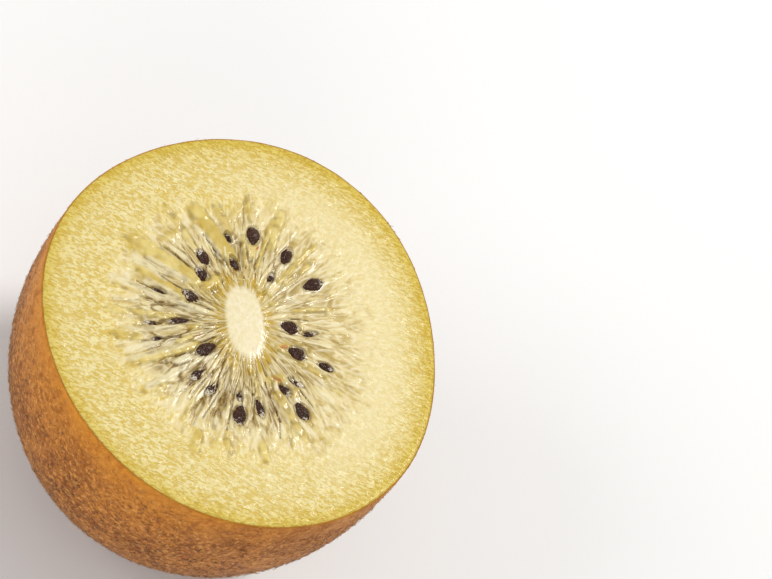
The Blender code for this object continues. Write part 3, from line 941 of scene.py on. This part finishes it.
def build_down(material):
    """Short fine hairs, each a curved three-sided spike that leaves the skin at a low angle."""
    rng = np.random.default_rng(81)
    wide = rng.random(HAIRS * 2)
    turns = RIM_TURN + (REST_TURN - RIM_TURN) * wide
    depth, share = side_curve(turns)
    kept = rng.random(len(turns)) < share * 0.75 + 0.25
    turns, depth, share = turns[kept][:HAIRS], depth[kept][:HAIRS], share[kept][:HAIRS]
    count = len(turns)
    bearing = rng.random(count) * FULL_TURN
    radius = outline_radius(bearing) * share
    root = np.stack([*polar(radius, bearing), CUT_HEIGHT - depth], -1)

    after_depth, after_share = side_curve(turns + 0.01)
    shrink = after_share - share
    down = np.stack([np.cos(bearing) * FACE_RADIUS * shrink,
                     np.sin(bearing) * FACE_RADIUS * shrink, depth - after_depth], -1)
    down /= np.linalg.norm(down, axis=1, keepdims=True)
    round_way = np.stack([-np.sin(bearing), np.cos(bearing), 0 * bearing], -1)
    normal = np.cross(round_way, down)
    normal *= np.sign((normal * root * (1, 1, 0.2)).sum(1, keepdims=True) + 1e-9)

    heading = rng.normal(0.0, 1.3, count) + 0.6 * np.sin(3 * bearing + depth * 0.25)
    way = down * np.cos(heading)[:, None] + round_way * np.sin(heading)[:, None]
    side = np.cross(normal, way)
    length = rng.uniform(0.35, 1.0, count) * (0.6 + 0.4 * smooth(0.0, 8.0, depth))
    lift = rng.uniform(0.10, 0.45, count)
    bend = rng.normal(0.0, 0.25, count)
    thick = rng.uniform(0.025, 0.045, count)

    def station(along, width):
        """Points round each hair at a share of its length, with a share of its thickness."""
        centre = root - normal * 0.03 + way * (length * along)[:, None] \
            + normal * (length * lift * along * (1.3 - 0.6 * along))[:, None] \
            + side * (length * bend * along * along)[:, None]
        ring = []
        for corner in range(HAIR_SIDES):
            angle = FULL_TURN * corner / HAIR_SIDES
            outwards = side * math.cos(angle) + normal * math.sin(angle)
            ring.append(centre + outwards * (thick * width)[:, None])
        return np.stack(ring, 1)

    base, middle, tip = station(0.0, 1.0), station(0.55, 0.8), station(1.0, 0.0)[:, :1]
    points = np.concatenate([base, middle, tip], 1)
    points[..., 2] = np.maximum(points[..., 2], 0.02)
    first = (np.arange(count) * HAIR_POINTS)[:, None]
    faces = []
    for k in range(HAIR_SIDES):
        n = (k + 1) % HAIR_SIDES
        upper_k, upper_n = k + HAIR_SIDES, n + HAIR_SIDES
        faces.append(first + np.array([k, n, upper_n]))
        faces.append(first + np.array([k, upper_n, upper_k]))
        faces.append(first + np.array([upper_k, upper_n, HAIR_POINTS - 1]))
    faces.append(first + np.array([2, 1, 0]))    # three sides close the root with one triangle
    triangles = np.concatenate(faces)

    tone = np.clip(rng.normal(0.5, 0.3, count), 0, 1)
    # painted light: how much warm light through the flesh is painted on each hair
    painted_glow_near_rim = painted_rim_glow(bearing, depth, 0.45) * 0.9
    values = np.stack([tone, painted_glow_near_rim, 0 * tone, 1 + 0 * tone], -1)
    values = np.repeat(values, HAIR_POINTS, axis=0)
    mesh = make_mesh("skin_down", points.reshape(-1, 3), triangles,
                     np.full(len(triangles), 3), [("hair", values)])
    return add_object("skin_down", mesh, material)


# ---------------------------------------------------------------- seeds

SEED_STEPS = 48
SEED_RINGS = 34
SEED_HALF_THICKNESS = 0.62
SEED_TAPER = 0.30


def build_seed(number, seed, material):
    """A flattened drop with a pitted coat. Its narrower end points to the core."""
    length, width = seed.length, seed.width
    thick = min(SEED_HALF_THICKNESS, width * 0.42)
    tilt = (np.arange(SEED_RINGS) + 0.5) / SEED_RINGS * np.pi
    turn = np.arange(SEED_STEPS) * FULL_TURN / SEED_STEPS
    x = -np.cos(tilt)[:, None] + 0 * turn
    narrowing = 1.0 - SEED_TAPER * smooth(0.2, -1.0, x)
    y = np.sin(tilt)[:, None] * np.cos(turn) * narrowing
    z = np.sin(tilt)[:, None] * np.sin(turn) * narrowing
    offset = number * 7.3
    dents = ripple(x * length * 2.4 + offset, np.arctan2(z, y) * 2.4, 91) * 0.08
    lump = ripple(x * 1.3 + offset, y * 1.3 + z, 92) * 0.06
    grow = 1.0 + dents + lump
    body = np.dstack([x * length / 2 * grow, y * width / 2 * grow, z * thick * grow])
    ends = np.array([[-length / 2, 0, 0], [length / 2, 0, 0]])
    rng = np.random.default_rng(100 + number)
    lean = Matrix.Rotation(math.radians(float(rng.uniform(-9, 9))), 3, "Y")
    roll = Matrix.Rotation(math.radians(float(rng.uniform(-14, 14))), 3, "X")
    spin = Matrix.Rotation(math.radians(seed.bearing + seed.turn), 3, "Z")
    pose = np.array(spin @ lean @ roll)
    cx, cy = seed_place(seed)
    place = np.array([cx, cy, CUT_HEIGHT + seed.stand - thick])
    body = body @ pose.T + place
    ends = ends @ pose.T + place
    name = f"seed_{number:02d}"
    # Painted highlight: pale patches on the upper side and at the end away from the core stand
    # for light caught on the wet seed, with scraps of flesh where fibre veils it.
    painted_glint = 0.30 * smooth(-0.2, 1.0, x) * smooth(-0.9, 0.9, z) + 0.22 * seed.veil + 0.12
    painted_glint = np.stack([painted_glint + 0 * y, 0 * y, 0 * y, 1 + 0 * y], -1).reshape(-1, 4)
    painted_glint = np.concatenate([painted_glint, painted_glint[:1], painted_glint[-1:]])
    mesh = ring_mesh(name, body, ends[0], ends[1], [("painted_glint", painted_glint)])
    return add_object(name, mesh, material)


# ---------------------------------------------------------------- floor, light and camera

CAMERA_ELEVATION = 51.0
CAMERA_ROLL = 40.0          # the camera is turned so that up leans to the right
CAMERA_DISTANCE = 486.0     # from the middle of the cut face
LENS = 183.5
SENSOR_WIDTH = 36.0
FACE_LEFT_OF_MIDDLE = 17.3  # where the cut face sits in the frame, at that distance
FACE_BELOW_MIDDLE = 4.6

FLOOR_HALF_SIZE = 6.0
WORLD_STRENGTH = 0.40
WHITE = (1.0, 1.0, 1.0)
LIGHT_AIM = (0.0, 0.0, 0.02)
# Name, place, diameter, power in watts and colour.
LIGHTS = (
    ("key", (0.25, 0.55, 0.75), 0.30, 5.2, (1.0, 0.985, 0.95)),
    ("fill", (-0.75, -0.55, 0.45), 0.80, 3.8, WHITE),
    ("front", (0.35, -0.85, 0.35), 0.70, 2.0, WHITE),
)


def make_stage():
    t = Tree("floor_white")
    t.set(
        Base_Color=t.mix(t.noise(14.0, 2.0), (0.94, 0.94, 0.94), (0.96, 0.96, 0.955)),
        Roughness=0.9,
    )
    size = FLOOR_HALF_SIZE
    mesh = bpy.data.meshes.new("floor")
    corners = [(-size, -size, 0), (size, -size, 0), (size, size, 0), (-size, size, 0)]
    mesh.from_pydata(corners, [], [(0, 1, 2, 3)])
    floor = add_object("floor", mesh, t.material)

    world = bpy.data.worlds.new("studio")
    world.use_nodes = True
    background = world.node_tree.nodes["Background"]
    background.inputs["Color"].default_value = (*WHITE, 1.0)
    background.inputs["Strength"].default_value = WORLD_STRENGTH
    bpy.context.scene.world = world


def make_lights():
    for name, place, diameter, power, colour in LIGHTS:
        data = bpy.data.lights.new(name, "AREA")
        data.shape = "DISK"
        data.size = diameter
        data.energy = power
        data.color = colour
        light = bpy.data.objects.new(name, data)
        light.location = place
        aim = Vector(LIGHT_AIM) - Vector(place)
        light.rotation_euler = aim.to_track_quat("-Z", "Y").to_euler()
        bpy.context.scene.collection.objects.link(light)


def make_camera():
    elevation, roll = math.radians(CAMERA_ELEVATION), math.radians(90.0 - CAMERA_ROLL)
    view = Vector((0.0, math.cos(elevation), -math.sin(elevation)))
    screen_up = Vector((0.0, math.sin(elevation), math.cos(elevation)))
    side = Vector((1.0, 0.0, 0.0))
    right = screen_up * math.cos(roll) + side * math.sin(roll)
    up = screen_up * math.sin(roll) - side * math.cos(roll)
    face = Vector((0.0, 0.0, CUT_HEIGHT))
    place = face - view * CAMERA_DISTANCE + right * FACE_LEFT_OF_MIDDLE + up * FACE_BELOW_MIDDLE
    data = bpy.data.cameras.new("camera")
    data.lens = LENS
    data.sensor_width = SENSOR_WIDTH
    data.sensor_fit = "HORIZONTAL"
    camera = bpy.data.objects.new("camera", data)
    turn = Matrix((right, up, -view)).transposed().to_4x4()
    camera.matrix_world = Matrix.Translation(place * MM) @ turn
    bpy.context.scene.collection.objects.link(camera)
    bpy.context.scene.camera = camera


# ---------------------------------------------------------------- the scene

finish_piece(build_flesh(make_flesh_material()))
finish_piece(build_skin(make_skin_material()))
finish_piece(build_down(make_down_material()))
seed_material = make_seed_material()
for seed_number, seed in enumerate(SEEDS, start=1):
    finish_piece(build_seed(seed_number, seed, seed_material))

make_stage()
make_lights()
make_camera()
bpy.context.scene.view_settings.view_transform = "Standard"
